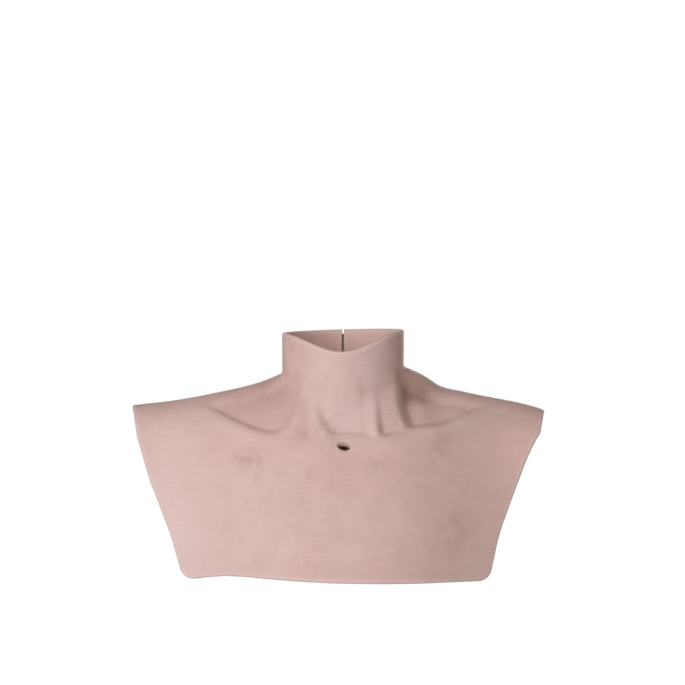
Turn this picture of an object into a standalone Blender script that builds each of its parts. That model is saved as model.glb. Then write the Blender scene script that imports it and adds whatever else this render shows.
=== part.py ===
"""Tracheostomy simulation collar: a cast silicone skin with neck sleeve, shoulder yoke and chest apron,
a soft trachea sleeve behind its stoma, and two hook-and-loop tapes that close its split at the nape.

Metres, +Z up. The front faces -Y. The origin is the middle of the neck at the height of the shoulder line.
Left and right are the viewer's, seen from the front, so left is -X.
"""

import math

import bmesh
import bpy
import numpy as np
from mathutils import Matrix, Vector

# The cast skin
WALL = 0.005
EDGE_ROUNDING = 0.0016
SPLIT_GAP = 0.0016
SPLIT_TAPER_POWER = 12

# Neck sleeve: an oval tube that leans forward a little as it rises
NECK_HALF_WIDTH = 0.0578
NECK_FRONT_DEPTH = 0.056
NECK_BACK_DEPTH = 0.058
NECK_CENTRE_Y = 0.001
NECK_LEAN = 0.08

# Its rim: height at the sides, rise to the right and to the nape, and the dip under the chin
RIM_HEIGHT = 0.0370
RIM_RISE_RIGHT = 0.0015
RIM_RISE_NAPE = 0.004
RIM_DIP = 0.0175
RIM_DIP_SPREAD = 0.70

# Rounding between neck sleeve and yoke, up the neck and out on the yoke
FILLET_SIDE = 0.0045
FILLET_FRONT = 0.013
FILLET_BACK = 0.014
FILLET_PULL = 0.45

# Height of the shoulder crest across the body
CREST = (
    (-0.202, -0.0320),
    (-0.193, -0.0309),
    (-0.170, -0.0284),
    (-0.121, -0.0198),
    (-0.076, -0.0086),
    (-0.058, -0.0015),
    (0.000, 0.0010),
    (0.058, 0.0050),
    (0.068, 0.0012),
    (0.080, -0.0052),
    (0.090, -0.0118),
    (0.116, -0.0190),
    (0.144, -0.0247),
    (0.172, -0.0304),
    (0.188, -0.0349),
    (0.1915, -0.0363),
    (0.195, -0.0392),
)
CREST_Y = 0.012

# Chest and back: the round brow of the shoulder, then a fall that leans outwards
BROW = 0.046
CHEST_Y = -0.098
CHEST_LEVEL = -0.191
CHEST_ROUNDING = 0.075
TORSO_BREADTH = 0.133
TORSO_FLATNESS = 2.6
CREST_FADE = 0.115
CHEST_LEAN = 0.31
CHEST_LEAN_LOSS = 0.16
CHEST_LEAN_REACH = 0.145
BACK_DEPTH = 0.062
BACK_ROUNDING = 0.022
BACK_LEAN = 0.12

# Trimmed edge of the apron: across, height and corner radius
HEM_LEFT = (-0.1496, -0.1932, 0.012)
HEM_MID_LEFT = (-0.110, -0.1862, 0.200)
HEM_MID_RIGHT = (-0.010, -0.1902, 0.300)
HEM_RIGHT = (0.1368, -0.1932, 0.012)
SIDE_TOP_LEFT = (-0.1965, -0.051, 0.030)
SIDE_MID_LEFT = (-0.1842, -0.0955, 0.120)
SIDE_TOP_RIGHT = (0.1885, -0.0540, 0.022)
SIDE_MID_RIGHT = (0.1462, -0.152, 0.100)

# Trimmed edge on the shoulders and the back: across, distance behind the crest and corner radius
TIP_LEFT = (-0.2012, 0.010, 0.012)
TIP_RIGHT = (0.1940, 0.010, 0.012)
BACK_CORNER_LEFT = (-0.128, 0.140, 0.028)
BACK_CORNER_RIGHT = (0.124, 0.140, 0.028)

# Body forms cast into the front. The neck and its hollows end at the collar bones, on the foot line, given
# across and in height, with a step of twice the half height
FOOT_LINE = (
    (-0.160, -0.0270),
    (-0.126, -0.0330),
    (-0.106, -0.0420),
    (-0.078, -0.0530),
    (-0.058, -0.0560),
    (0.000, -0.0560),
    (0.036, -0.0575),
    (0.066, -0.0505),
    (0.093, -0.0465),
    (0.125, -0.0350),
    (0.160, -0.0285),
)
FOOT_STEP_HALF = 0.0036
STEP_TOP_SHARES = (0.13, 0.42)
STEP_TOP_BEHIND = 0.27
STEP_FOOT_SHARES = (0.19, 0.48)
STEP_FOOT_BEHIND = 0.33

# Neck muscles and hollows, from left to right: across at the upper and at the lower height, on a curve
# between the two, and how far each stands out there
UPPER_FORM_HEIGHT = -0.020
LOWER_FORM_HEIGHT = -0.054
FORM_REACH = (0.0, 1.1)
FORM_CURVE = 2
FORMS = (
    (-0.150, -0.158, 0.0000, 0.0000),  # outer end of the left hollow
    (-0.104, -0.112, -0.0030, -0.0030),  # its shallow part
    (-0.066, -0.078, -0.0046, -0.0046),  # left hollow
    (-0.0525, -0.0685, -0.0036, -0.0040),  # its inner edge
    (-0.0375, -0.0500, 0.0006, 0.0010),  # left collar bone head of the muscle
    (-0.0325, -0.0350, 0.0006, -0.0006),  # groove between the two heads
    (-0.0285, -0.0200, 0.0006, 0.0018),  # left breastbone head
    (-0.0195, -0.0070, -0.0006, -0.0030),  # edge of the throat
    (0.0030, 0.0050, -0.0006, -0.0026),  # throat
    (0.0180, 0.0190, -0.0002, -0.0014),  # edge of the throat
    (0.0285, 0.0305, 0.0004, 0.0018),  # right breastbone head
    (0.0360, 0.0395, 0.0002, -0.0042),  # groove between the two heads
    (0.0470, 0.0580, 0.0012, 0.0014),  # right collar bone head
    (0.0645, 0.0720, -0.0110, -0.0064),  # inner edge of the right hollow
    (0.0800, 0.0865, -0.0090, -0.0056),  # right hollow
    (0.110, 0.114, -0.0040, -0.0036),  # its shallow part
    (0.150, 0.158, 0.0000, 0.0000),  # its outer end
)
CREST_CLEARANCE = (0.002, 0.014)
FRONT_FADE = (0.02, 0.30)

# Collar bones: a ridge below the foot line, from the inner to the outer end
CLAVICLE_BELOW_FOOT = 0.009
CLAVICLE_HALF_WIDTH = 0.0085
CLAVICLE_HEIGHT = 0.0022
CLAVICLE_INNER = (0.020, 0.055)
CLAVICLE_OUTER = (0.110, 0.148)

# Stoma and the sleeve behind it
STOMA_X = 0.0008
STOMA_HEIGHT = -0.0672
STOMA_HALF_WIDTH = 0.0063
STOMA_HALF_HEIGHT = 0.0041
STOMA_TILT = math.radians(15)
STOMA_SLANT = math.radians(34)
SLEEVE_BORE = 0.0140
SLEEVE_WALL = 0.0025
SLEEVE_LEAD = 0.005
SLEEVE_BEND_RADIUS = 0.014
SLEEVE_DROP = 0.038

# Closing tapes: width, thicknesses, and how far each reaches from the split
TAPE_WIDTH = 0.020
STRAP_THICKNESS = 0.0014
PAD_THICKNESS = 0.0012
STRAP_BONDED_REACH = 0.034
STRAP_FREE_REACH = 0.044
PAD_INNER_REACH = 0.014
PATCH_OVERHANG = 0.006
RAMP_LENGTH = 0.008
NAPE_TAPE_BELOW_RIM = 0.0045
BACK_TAPE_DISTANCE = 0.104

# Clearance between pieces that are bonded or pressed together
SEAT_GAP = 0.0003

# Mesh density
EDGE_SEGMENTS = 2
EDGE_ANGLE = math.radians(60)
EDGE_PITCH_FRONT = 0.0115
EDGE_PITCH_BACK = 0.0260
CORNER_STEPS = 3
NECK_ROWS = 4
FILLET_ROWS = 3
COLLARBONE_ROWS = 8
STEP_ROWS = 2
APRON_ROWS = 6
APRON_CROWDING = 1.25
TAPE_PITCH = 0.006
TAPE_ROWS = 5
SLEEVE_BEND_STEPS = 10
CUTTER_SIDES = 28
CUTTER_LENGTH = 0.030
HALVINGS = 40

# Longest run down the skin that is searched, a small step along a surface, and the share of a side that its
# corner may use
LONGEST_RUN = 0.5
SMALL_STEP = 0.001
CORNER_SHARE = 0.45

SKIN = (0.62, 0.42, 0.36, 1.0)
SLEEVE = (0.55, 0.36, 0.31, 1.0)
TAPE = (0.70, 0.56, 0.48, 1.0)
HOOK = (0.58, 0.46, 0.40, 1.0)
SKIN_ROUGHNESS = 0.62
SLEEVE_ROUGHNESS = 0.5
TAPE_ROUGHNESS = 0.88


def through(stations, x):
    """Smooth curve through (x, value) stations: a cubic piece between each two, with the mean slope there."""
    knots, values = np.transpose(stations)
    slopes = np.gradient(values, knots)
    x = np.clip(x, knots[0], knots[-1])
    i = np.clip(np.searchsorted(knots, x) - 1, 0, len(knots) - 2)
    span = knots[i + 1] - knots[i]
    t = (x - knots[i]) / span
    start = (1 + 2 * t) * (1 - t) ** 2 * values[i] + t * (1 - t) ** 2 * span * slopes[i]
    end = t * t * (3 - 2 * t) * values[i + 1] + t * t * (t - 1) * span * slopes[i + 1]
    return start + end


def smooth_step(x, low, high):
    """0 below low, 1 above high and an S curve between."""
    t = np.clip((x - low) / (high - low), 0, 1)
    return t * t * (3 - 2 * t)


def body(x, s):
    """Outer face of the yoke at x across and s along the skin, from the shoulder crest down the front, or
    down the back where s is negative: a quarter round brow, then a straight fall that leans outwards.
    The fade takes the crest's own slope out again further down, so that lines of equal s are level there."""
    crest = through(CREST, x)
    away = 1 - np.exp(-((np.abs(x) / TORSO_BREADTH) ** TORSO_FLATNESS))
    run = np.abs(s) + crest * smooth_step(np.abs(s), 0, CREST_FADE)
    turn = np.clip(run / BROW, 0, math.pi / 2)
    drop = BROW * (1 - np.cos(turn)) + np.maximum(run - BROW * math.pi / 2, 0)
    lean = np.maximum(CHEST_LEAN - CHEST_LEAN_LOSS * (x / CHEST_LEAN_REACH) ** 2, 0)
    chest_depth = CREST_Y - CHEST_Y - CHEST_ROUNDING * away - lean * (crest - CHEST_LEVEL)
    front = CREST_Y - chest_depth * np.sin(turn) - lean * drop
    back = CREST_Y + (BACK_DEPTH - BACK_ROUNDING * away) * np.sin(turn) + BACK_LEAN * drop
    return np.stack([x, np.where(s > 0, front, back), crest - drop], axis=-1)


def halved(low, high, passed):
    """The value between low and high past which passed(value) is true, found by halving the range."""
    for _ in range(HALVINGS):
        middle = (low + high) / 2
        beyond = passed(middle)
        low, high = np.where(beyond, low, middle), np.where(beyond, middle, high)
    return (low + high) / 2


def along_skin(x, z):
    """Distance s down the front of the skin at which body() reaches height z."""
    x, z = np.broadcast_arrays(x, z)
    return halved(0 * z, 0 * z + LONGEST_RUN, lambda s: body(x, s)[..., 2] < z)


def neck(angle, z):
    """Outer face of the neck sleeve, at an angle round it from the front and a height."""
    angle, z = np.broadcast_arrays(angle, z)
    depth = np.where(np.cos(angle) > 0, NECK_FRONT_DEPTH, NECK_BACK_DEPTH)
    x = NECK_HALF_WIDTH * np.sin(angle)
    y = NECK_CENTRE_Y - NECK_LEAN * z - depth * np.cos(angle)
    return np.stack([x, y, z], axis=-1)


def rim_height(angle):
    """Height of the rim: level at the sides, lower under the chin, a little higher right and at the nape."""
    dip = RIM_DIP * np.exp(-((angle / RIM_DIP_SPREAD) ** 2))
    return RIM_HEIGHT + RIM_RISE_RIGHT * np.sin(angle) + RIM_RISE_NAPE * (1 - np.cos(angle)) / 2 - dip


def neck_root(angle):
    """Where the neck sleeve meets the yoke, as (x, s): body() there lies under the sleeve's wall."""
    wall = neck(angle, np.zeros_like(angle))

    def in_front(s):
        found = body(wall[:, 0], s)
        return found[:, 1] < wall[:, 1] - NECK_LEAN * found[:, 2]

    reach = 2 * BROW + 0 * angle
    return np.stack([wall[:, 0], halved(-reach, reach, in_front)], axis=-1)


def rounded_outline(corners, front_pitch, back_pitch, corner_steps):
    """Points along an open line of (x, s, radius) corners, with an arc at each inner corner that has
    corner_steps pieces for each quarter turn."""
    points = [np.array(corners[0][:2])]
    for before, at, after in zip(corners, corners[1:], corners[2:]):
        corner = np.array(at[:2])
        towards = np.array(before[:2]) - corner
        onwards = np.array(after[:2]) - corner
        reach = (np.linalg.norm(towards), np.linalg.norm(onwards))
        towards, onwards = towards / reach[0], onwards / reach[1]
        half = math.acos(np.clip(towards @ onwards, -1, 1)) / 2
        cut = min(at[2] / math.tan(half), CORNER_SHARE * min(reach))
        radius = cut * math.tan(half)
        centre = corner + (towards + onwards) / np.linalg.norm(towards + onwards) * radius / math.sin(half)
        first, last = corner + towards * cut, corner + onwards * cut
        steps = math.ceil(corner_steps * (math.pi - 2 * half) / (math.pi / 2))
        for step in range(steps + 1):
            share = step / steps
            spoke = (first - centre) * (1 - share) + (last - centre) * share
            points.append(centre + spoke / np.linalg.norm(spoke) * radius)
    points.append(np.array(corners[-1][:2]))
    line = [points[0]]
    for start, end in zip(points, points[1:]):
        pitch = front_pitch if start[1] + end[1] > 0 else back_pitch
        pieces = max(1, round(float(np.linalg.norm(end - start)) / pitch))
        line += [start + (end - start) * (k + 1) / pieces for k in range(pieces)]
    return np.array(line)


def edge_line(front_pitch, back_pitch, corner_steps):
    """The trimmed edge as (x, s) points, from the split at the nape round the left side and back to it."""
    def on_front(corner):
        return (corner[0], float(along_skin(corner[0], corner[1])), corner[2])

    def on_back(corner):
        return (corner[0], -corner[1], corner[2])

    corners = [
        (0.0, -BACK_CORNER_LEFT[1], 0.0),
        on_back(BACK_CORNER_LEFT),
        on_back(TIP_LEFT),
        on_front(SIDE_TOP_LEFT),
        on_front(SIDE_MID_LEFT),
        on_front(HEM_LEFT),
        on_front(HEM_MID_LEFT),
        on_front(HEM_MID_RIGHT),
        on_front(HEM_RIGHT),
        on_front(SIDE_MID_RIGHT),
        on_front(SIDE_TOP_RIGHT),
        on_back(TIP_RIGHT),
        on_back(BACK_CORNER_RIGHT),
        (0.0, -BACK_CORNER_RIGHT[1], 0.0),
    ]
    return rounded_outline(corners, front_pitch, back_pitch, corner_steps)


def forms(x, z):
    """Muscles and hollows: at each height every form has its own place across and its level, and an S curve
    joins each form to the next."""
    share = np.clip((z - UPPER_FORM_HEIGHT) / (LOWER_FORM_HEIGHT - UPPER_FORM_HEIGHT), *FORM_REACH)
    height = np.zeros(np.broadcast(x, z).shape)
    for form, following in zip(FORMS, FORMS[1:]):
        left, right = (each[0] + (each[1] - each[0]) * share**FORM_CURVE for each in (form, following))
        start, end = (each[2] + (each[3] - each[2]) * share for each in (form, following))
        joined = start + (end - start) * smooth_step(x, left, right)
        height = np.where((x >= left) & (x < right), joined, height)
    return height


def relief(x, z):
    """How far the cast forms stand out of the plain skin, at x across and height z on the front: the forms
    between the crest and the foot line, and a bell-shaped ridge along each collar bone below it."""
    foot = through(FOOT_LINE, x)
    above_foot = smooth_step(z - foot, -FOOT_STEP_HALF, FOOT_STEP_HALF)
    below_crest = smooth_step(through(CREST, x) - z, *CREST_CLEARANCE)
    from_bone = (z - foot + CLAVICLE_BELOW_FOOT) / CLAVICLE_HALF_WIDTH
    along_bone = smooth_step(np.abs(x), *CLAVICLE_INNER) * (1 - smooth_step(np.abs(x), *CLAVICLE_OUTER))
    return forms(x, z) * above_foot * below_crest + CLAVICLE_HEIGHT * along_bone * np.exp(-(from_bone**2))


def step_share(start, edge, on_front, above_foot, shares, share_behind):
    """How far from start to edge each column comes down to a height above the foot line, so that rows of faces
    run along the step. It eases into one share for all columns behind, as on_front goes from 1 to 0."""
    def below(share):
        flat = start + (edge - start) * share[:, None]
        found = body(flat[:, 0], flat[:, 1])
        return (found[:, 2] < through(FOOT_LINE, found[:, 0]) + above_foot) | (flat[:, 1] < 0)

    share = halved(0 * edge[:, 0], 0 * edge[:, 0] + 1, below)
    return share_behind + (np.clip(share, *shares) - share_behind) * on_front


def outward(grid):
    """Unit normals of a grid of points: its rows run round the neck, one below the other."""
    normal = np.cross(np.gradient(grid, axis=0), np.gradient(grid, axis=1))
    return normal / np.linalg.norm(normal, axis=-1, keepdims=True)


def skin_grid():
    """Outer face of the skin as a grid: each column runs down the neck, round the fillet and to the edge."""
    edge = edge_line(EDGE_PITCH_FRONT, EDGE_PITCH_BACK, CORNER_STEPS)
    angle = np.arctan2(edge[:, 0], edge[:, 1])
    angle[0], angle[-1] = -math.pi, math.pi
    root = neck_root(angle)
    root_point = body(root[:, 0], root[:, 1])
    forward = np.cos(angle)
    middle_fillet = np.where(forward > 0, FILLET_FRONT, FILLET_BACK)
    fillet = FILLET_SIDE + (middle_fillet - FILLET_SIDE) * forward**2

    top = rim_height(angle)
    foot = root_point[:, 2] + fillet
    share = np.linspace(0, 1, NECK_ROWS + 1)[:, None]
    neck_part = neck(angle[None, :], top + (foot - top) * share)

    heading = edge - root
    length = np.linalg.norm(heading, axis=1, keepdims=True)
    start = root + heading / length * fillet[:, None]
    on_front = smooth_step(forward, *FRONT_FADE)
    step_top = step_share(start, edge, on_front, FOOT_STEP_HALF, STEP_TOP_SHARES, STEP_TOP_BEHIND)
    step_foot = step_share(start, edge, on_front, -FOOT_STEP_HALF, STEP_FOOT_SHARES, STEP_FOOT_BEHIND)
    to_step = np.linspace(0, 1, COLLARBONE_ROWS + 1)[:, None] * step_top
    on_step = step_top + (step_foot - step_top) * np.linspace(0, 1, STEP_ROWS + 1)[1:-1, None]
    past_step = step_foot + (1 - step_foot) * np.linspace(0, 1, APRON_ROWS + 1)[:, None] ** APRON_CROWDING
    flat = start + (edge - start) * np.concatenate([to_step, on_step, past_step])[..., None]
    yoke_part = body(flat[..., 0], flat[..., 1])

    ahead = start + heading / length * SMALL_STEP
    leaving = body(ahead[:, 0], ahead[:, 1]) - yoke_part[0]
    leaving = leaving / np.linalg.norm(leaving, axis=1, keepdims=True)
    arriving = neck_part[-1] - neck_part[-2]
    arriving = arriving / np.linalg.norm(arriving, axis=1, keepdims=True)
    pull = np.linalg.norm(yoke_part[0] - neck_part[-1], axis=1, keepdims=True) * FILLET_PULL
    t = np.linspace(0, 1, FILLET_ROWS + 1)[1:-1, None, None]
    fillet_part = (
        (1 - t) ** 3 * neck_part[-1]
        + 3 * t * (1 - t) ** 2 * (neck_part[-1] + arriving * pull)
        + 3 * t**2 * (1 - t) * (yoke_part[0] - leaving * pull)
        + t**3 * yoke_part[0]
    )

    grid = np.concatenate([neck_part, fillet_part, yoke_part])
    height = relief(grid[..., 0], grid[..., 2]) * on_front
    grid = grid + outward(grid) * height[..., None]
    grid[..., 0] += np.sign(angle) * SPLIT_GAP / 2 * (np.abs(angle) / math.pi) ** SPLIT_TAPER_POWER
    return grid


def grid_mesh(name, grid):
    """An open sheet of four-sided faces through a grid of points."""
    rows, columns = grid.shape[:2]
    corner = np.arange(rows * columns).reshape(rows, columns)
    faces = np.stack([corner[:-1, :-1], corner[1:, :-1], corner[1:, 1:], corner[:-1, 1:]], axis=-1)
    mesh = bpy.data.meshes.new(name)
    mesh.from_pydata(grid.reshape(-1, 3).tolist(), [], faces.reshape(-1, 4).tolist())
    return mesh


def add_object(name, mesh, collection, material=None):
    made = bpy.data.objects.new(name, mesh)
    collection.objects.link(made)
    if material:
        mesh.materials.append(material)
    mesh.shade_smooth()
    return made


def thicken(made, thickness, offset):
    shell = made.modifiers.new("thickness", "SOLIDIFY")
    shell.thickness = thickness
    shell.offset = offset
    return shell


def plain_material(name, colour, roughness):
    material = bpy.data.materials.new(name)
    material.use_nodes = True
    shader = material.node_tree.nodes["Principled BSDF"]
    shader.inputs["Base Color"].default_value = colour
    shader.inputs["Roughness"].default_value = roughness
    shader.inputs["Metallic"].default_value = 0.0
    return material


def make_collar_skin(collar, cutters):
    """The cast skin: a loft from the oval neck rim to the trimmed apron edge, thickened inwards."""
    mesh = grid_mesh("collar_skin", skin_grid())
    skin = add_object("collar_skin", mesh, collar, plain_material("skin", SKIN, SKIN_ROUGHNESS))
    thicken(skin, WALL, -1)
    rounding = skin.modifiers.new("rounded edges", "BEVEL")
    rounding.width = EDGE_ROUNDING
    rounding.segments = EDGE_SEGMENTS
    rounding.limit_method = "ANGLE"
    rounding.angle_limit = EDGE_ANGLE
    cut = skin.modifiers.new("stoma", "BOOLEAN")
    cut.operation = "DIFFERENCE"
    cut.object = make_stoma_cutter(cutters)


def stoma_frame():
    """Centre of the stoma on the outer face, and the directions across, up along and into the skin."""
    x = np.full(3, STOMA_X)
    z = STOMA_HEIGHT + SMALL_STEP * np.array([0, 1, -1])
    centre, above, below = (Vector(p) for p in body(x, along_skin(x, z)))
    across = Vector((1, 0, 0))
    up = (above - below).normalized()
    return centre, across, up, up.cross(across)


def make_stoma_cutter(cutters):
    """An oval rod through the skin, turned by the stoma's tilt and slanting downwards as it goes in: it is
    sheared, so that its section along the skin stays the stoma's own oval."""
    centre, across, up, inward = stoma_frame()
    mesh = bpy.data.meshes.new("stoma_cutter")
    shape = bmesh.new()
    bmesh.ops.create_cone(shape, cap_ends=True, segments=CUTTER_SIDES, radius1=1, radius2=1, depth=1)
    turn = Matrix.Rotation(-STOMA_TILT, 4, "Z")
    size = Matrix.Diagonal((STOMA_HALF_WIDTH, STOMA_HALF_HEIGHT, CUTTER_LENGTH, 1))
    bmesh.ops.transform(shape, matrix=turn @ size, verts=shape.verts)
    shape.to_mesh(mesh)
    shape.free()
    cutter = add_object("stoma_cutter", mesh, cutters)
    outward_channel = up * math.tan(STOMA_SLANT) - inward
    axes = Matrix((across, up, outward_channel)).transposed().to_4x4()
    mesh.transform(Matrix.Translation(centre) @ axes)
    cutter.hide_render = True
    cutter.display_type = "WIRE"
    return cutter


def sleeve_route():
    """Centre line of the sleeve: straight in from where the slanting stoma leaves the skin's inner face, round
    a bend and straight down."""
    centre, across, up, inward = stoma_frame()
    centre = centre - up * WALL * math.tan(STOMA_SLANT)
    radius = SLEEVE_BORE / 2 + SLEEVE_WALL
    round_mouth = np.linspace(0, 2 * math.pi, CUTTER_SIDES, endpoint=False)
    x = centre.x + radius * np.cos(round_mouth)
    z = centre.z + radius * np.sin(round_mouth)
    hollow = ((body(x, along_skin(x, z)) - np.array(centre)) @ np.array(inward)).max()
    start = centre + inward * (WALL + float(hollow) + SEAT_GAP)
    down = Vector((0, 0, -1))
    bend = inward.angle(down)
    hub = start + inward * SLEEVE_LEAD - up * SLEEVE_BEND_RADIUS
    points = [start, start + inward * SLEEVE_LEAD / 2]
    for step in range(SLEEVE_BEND_STEPS + 1):
        swing = bend * step / SLEEVE_BEND_STEPS
        points.append(hub + (up * math.cos(swing) + inward * math.sin(swing)) * SLEEVE_BEND_RADIUS)
    points += [points[-1] + down * SLEEVE_DROP * share for share in (0.25, 0.5, 0.75, 1.0)]
    return points


def make_trachea_sleeve(collar):
    """The sleeve: a soft tube bonded behind the stoma, as an open tube thickened inwards."""
    route = sleeve_route()
    line = bpy.data.curves.new("trachea_sleeve_line", "CURVE")
    line.dimensions = "3D"
    line.bevel_depth = SLEEVE_BORE / 2 + SLEEVE_WALL
    line.bevel_resolution = 3
    line.use_fill_caps = False
    spline = line.splines.new("POLY")
    spline.points.add(len(route) - 1)
    for point, place in zip(spline.points, route):
        point.co = (*place, 1)
    guide = bpy.data.objects.new("trachea_sleeve_line", line)
    collar.objects.link(guide)
    bpy.context.view_layer.update()
    seen = guide.evaluated_get(bpy.context.evaluated_depsgraph_get())
    mesh = bpy.data.meshes.new_from_object(seen)
    mesh.name = "trachea_sleeve"
    bpy.data.objects.remove(guide)
    sleeve = add_object("trachea_sleeve", mesh, collar, plain_material("sleeve", SLEEVE, SLEEVE_ROUGHNESS))
    thicken(sleeve, SLEEVE_WALL, -1)


def on_nape(x, rise):
    """Point of the neck sleeve's back, at x along it from the split and a rise above the tape's middle."""
    middle = float(rim_height(math.pi)) - NAPE_TAPE_BELOW_RIM - TAPE_WIDTH / 2
    return neck(math.pi - x / NECK_BACK_DEPTH, middle + rise)


def on_back(x, rise):
    """Point of the back panel, at x across and a rise above the tape's middle."""
    return body(x, rise - BACK_TAPE_DISTANCE)


def tape(name, surface, start, end, lift, thickness, collar, material):
    """A flat tape that follows a surface from start to end across the split, lifted off it by lift(x)."""
    columns = max(2, round(abs(end - start) / TAPE_PITCH)) + 1
    x = np.linspace(start, end, columns)[None, :]
    rise = np.linspace(TAPE_WIDTH / 2, -TAPE_WIDTH / 2, TAPE_ROWS)[:, None]
    x, rise = np.broadcast_arrays(x, rise)
    face = surface(x, rise)
    normal = outward(face)
    normal = normal * np.sign(normal[..., 1:2])
    grid = face + normal * lift(x)[..., None]
    made = add_object(name, grid_mesh(name, grid), collar, material)
    faces_back = made.data.polygons[0].normal.y > 0
    thicken(made, thickness, 1 if faces_back else -1)
    return made


def make_closure(prefix, surface, collar):
    """One closing tape: a strap bonded left of the split, with a hook pad under its free end and the loop
    patch that it presses on bonded right of the split."""
    patch_lift = SEAT_GAP
    pad_lift = patch_lift + PAD_THICKNESS + SEAT_GAP
    strap_lift = pad_lift + PAD_THICKNESS + SEAT_GAP
    ramp_end = PAD_INNER_REACH - PATCH_OVERHANG
    webbing = plain_material(prefix + "_webbing", TAPE, TAPE_ROUGHNESS)
    hooks = plain_material(prefix + "_hook_tape", HOOK, TAPE_ROUGHNESS)

    def strap_lift_at(x):
        return SEAT_GAP + (strap_lift - SEAT_GAP) * smooth_step(x, ramp_end - RAMP_LENGTH, ramp_end)

    def flat(lift):
        return lambda x: lift + 0 * x

    free_end = STRAP_FREE_REACH
    patch_end = STRAP_FREE_REACH + PATCH_OVERHANG
    strap = (prefix + "_strap", surface, -STRAP_BONDED_REACH, free_end, strap_lift_at, STRAP_THICKNESS)
    hook_pad = (prefix + "_hook_pad", surface, PAD_INNER_REACH, free_end, flat(pad_lift), PAD_THICKNESS)
    loop_patch = (prefix + "_loop_patch", surface, ramp_end, patch_end, flat(patch_lift), PAD_THICKNESS)
    tape(*strap, collar, webbing)
    tape(*hook_pad, collar, hooks)
    tape(*loop_patch, collar, webbing)


for old in list(bpy.data.objects):
    bpy.data.objects.remove(old, do_unlink=True)
collar_pieces = bpy.data.collections.new("tracheostomy_collar")
cutting_tools = bpy.data.collections.new("cutters")
for group in (collar_pieces, cutting_tools):
    bpy.context.scene.collection.children.link(group)
cutting_tools.hide_render = True
make_collar_skin(collar_pieces, cutting_tools)
make_trachea_sleeve(collar_pieces)
make_closure("nape", on_nape, collar_pieces)
make_closure("back", on_back, collar_pieces)
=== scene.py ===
import math

import bmesh
import bpy
import numpy as np
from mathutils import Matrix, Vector


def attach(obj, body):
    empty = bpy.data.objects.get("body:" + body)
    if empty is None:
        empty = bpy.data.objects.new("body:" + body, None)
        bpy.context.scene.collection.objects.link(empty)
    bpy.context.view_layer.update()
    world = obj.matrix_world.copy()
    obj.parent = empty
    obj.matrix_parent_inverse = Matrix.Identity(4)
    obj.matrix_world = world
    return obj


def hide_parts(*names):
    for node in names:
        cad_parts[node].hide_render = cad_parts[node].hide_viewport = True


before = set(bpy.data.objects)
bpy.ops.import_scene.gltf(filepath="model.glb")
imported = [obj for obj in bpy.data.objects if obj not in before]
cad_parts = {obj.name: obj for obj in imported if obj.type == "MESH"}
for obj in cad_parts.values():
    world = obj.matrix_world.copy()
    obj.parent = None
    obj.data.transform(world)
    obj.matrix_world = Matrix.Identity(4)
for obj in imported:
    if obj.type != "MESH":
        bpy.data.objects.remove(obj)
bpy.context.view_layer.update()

# The view: the collar is seen level from the front, from about 2.2 m with a portrait lens, at the height of
# the neck sleeve. One pixel of the 685 pixel picture is 0.95 mm at the middle of the neck.
PICTURE_PIXELS = 685
METRES_PER_PIXEL = 0.00095
VIEW_DISTANCE = 2.2
VIEW_CENTRE = (-0.0005, 0.028)
SENSOR_MM = 36.0

lens = bpy.data.cameras.new("front_view")
lens.sensor_width = SENSOR_MM
lens.lens = SENSOR_MM * VIEW_DISTANCE / (PICTURE_PIXELS * METRES_PER_PIXEL)
lens.dof.use_dof = False
camera = bpy.data.objects.new("front_view", lens)
camera.location = (VIEW_CENTRE[0], -VIEW_DISTANCE, VIEW_CENTRE[1])
camera.rotation_euler = (math.pi / 2, 0, 0)
bpy.context.scene.collection.objects.link(camera)
bpy.context.scene.camera = camera

# The collar skin: platinum silicone cast as one piece in a life-cast mould, about 5 mm thick. Its outer face
# carries the cast forms of neck muscles and collar bones, and its edges are trimmed and softly rounded.
WALL = 0.005
EDGE_ROUNDING = 0.0021
EDGE_STEPS = 6
SPLIT_CROWDING = 0.0065
SPLIT_STEPS = 8
SPLIT_GAP = 0.0016
SPLIT_TAPER_POWER = 12
NECK_HALF_WIDTH = 0.0578
NECK_FRONT_DEPTH = 0.056
NECK_BACK_DEPTH = 0.058
NECK_CENTRE_Y = 0.001
NECK_LEAN = 0.08
RIM_HEIGHT = 0.0370
RIM_RISE_RIGHT = 0.0015
RIM_RISE_NAPE = 0.004
RIM_DIP = 0.0175
RIM_DIP_SPREAD = 0.70
FILLET_SIDE = 0.0045
FILLET_FRONT = 0.013
FILLET_BACK = 0.014
FILLET_PULL = 0.45
# The shoulder crest as (x, height) stations.
CREST = (
    (-0.202, -0.0320),
    (-0.193, -0.0309),
    (-0.170, -0.0284),
    (-0.121, -0.0198),
    (-0.076, -0.0086),
    (-0.058, -0.0015),
    (0.000, 0.0010),
    (0.058, 0.0050),
    (0.068, 0.0012),
    (0.080, -0.0052),
    (0.090, -0.0118),
    (0.116, -0.0190),
    (0.144, -0.0247),
    (0.172, -0.0304),
    (0.188, -0.0349),
    (0.1915, -0.0363),
    (0.195, -0.0392),
)
CREST_Y = 0.012
BROW = 0.046
CHEST_Y = -0.098
CHEST_LEVEL = -0.191
CHEST_ROUNDING = 0.075
TORSO_BREADTH = 0.133
TORSO_FLATNESS = 2.6
CREST_FADE = 0.115
CHEST_LEAN = 0.31
CHEST_LEAN_LOSS = 0.16
CHEST_LEAN_REACH = 0.145
BACK_DEPTH = 0.062
BACK_ROUNDING = 0.022
BACK_LEAN = 0.12
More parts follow.
